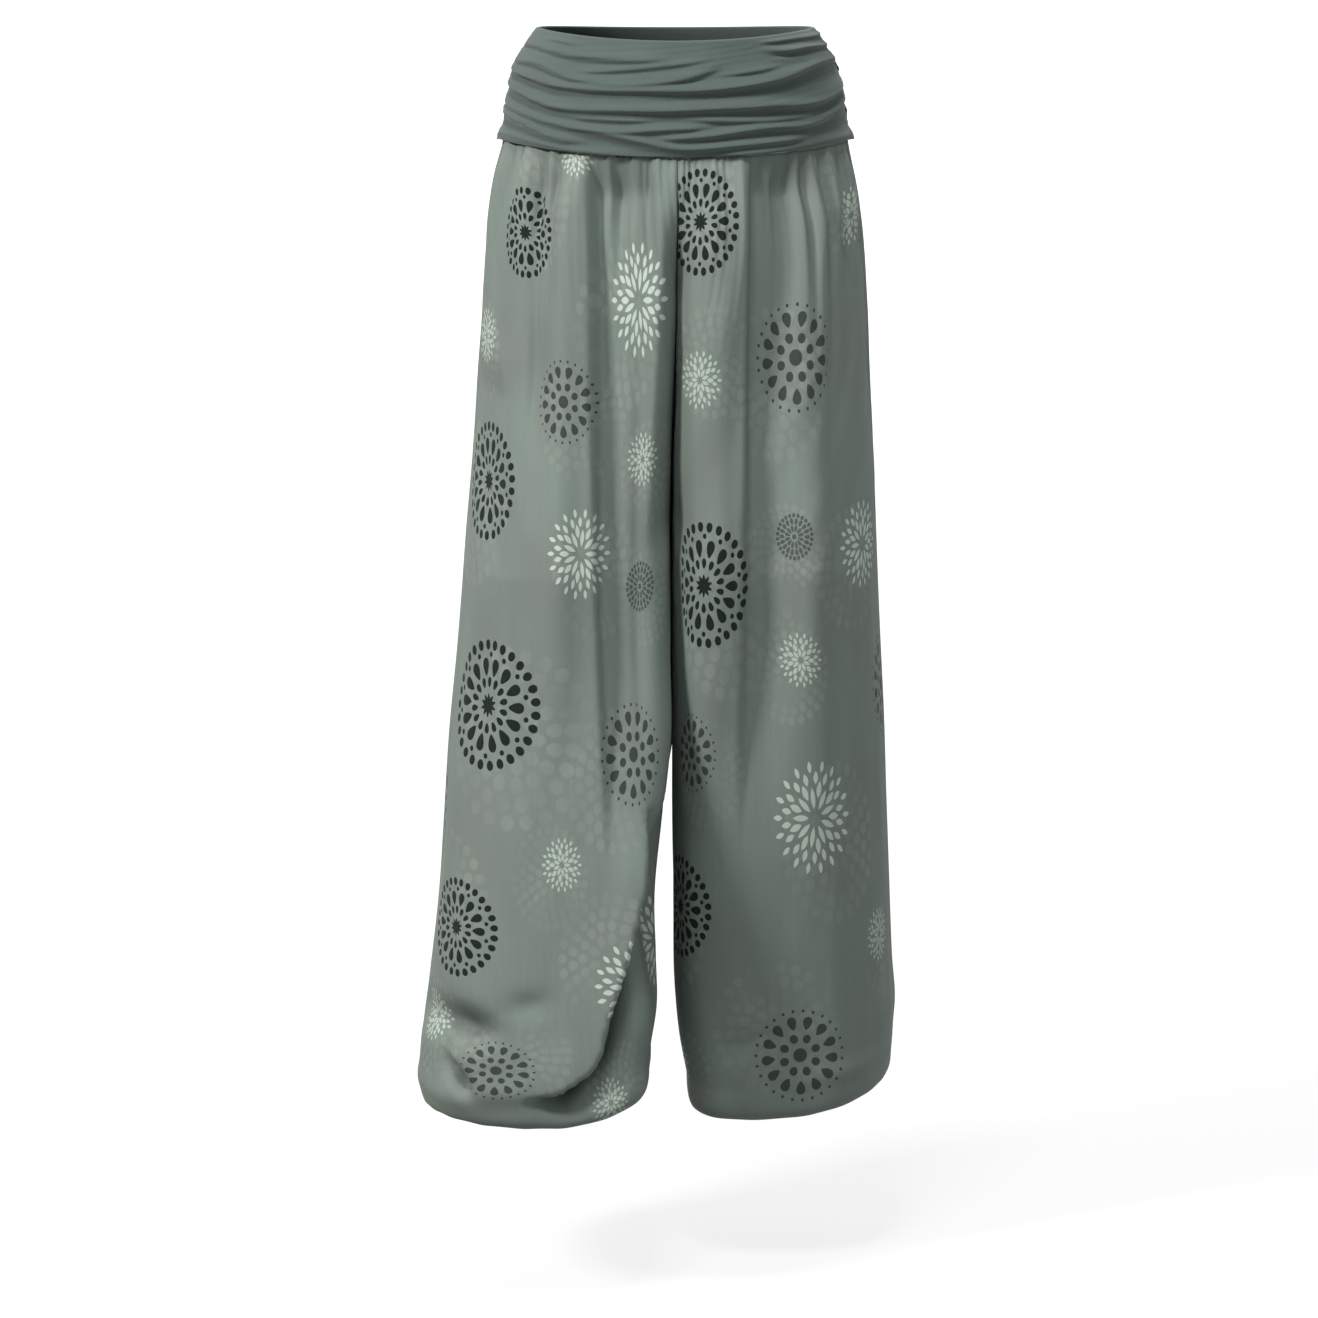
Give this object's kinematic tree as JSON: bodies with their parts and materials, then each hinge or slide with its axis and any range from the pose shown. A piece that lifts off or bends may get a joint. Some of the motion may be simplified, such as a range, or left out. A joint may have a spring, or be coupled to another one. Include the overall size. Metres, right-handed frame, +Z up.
{
  "type": "harem pants worn by nobody",
  "caption": "Loose full-length harem pants with a ruched fold-over waistband, gathered hips and bloused hems gathered at the ankles, open and posed in a short step.",
  "frame": {"origin": "middle of the waistband's hollow at half its height, where the wearer's waist holds it", "axes": "+Z up along the body, -Y the way the wearer faces, +X the wearer's left"},
  "size_m": [0.4298, 0.4137, 0.9807],
  "materials": {
    "jersey": "soft matte knit, grey green",
    "viscose": "smooth matte printed weave, grey green with black, grey and white flower rounds"
  },
  "bodies": {
    "root": {"waistband_front": "jersey", "waistband_back": "jersey", "leg_right_front": "viscose", "leg_right_back": "viscose", "leg_left_front": "viscose", "leg_left_back": "viscose", "ankle_casing_right": "viscose", "ankle_casing_left": "viscose"}
  },
  "joints": []
}
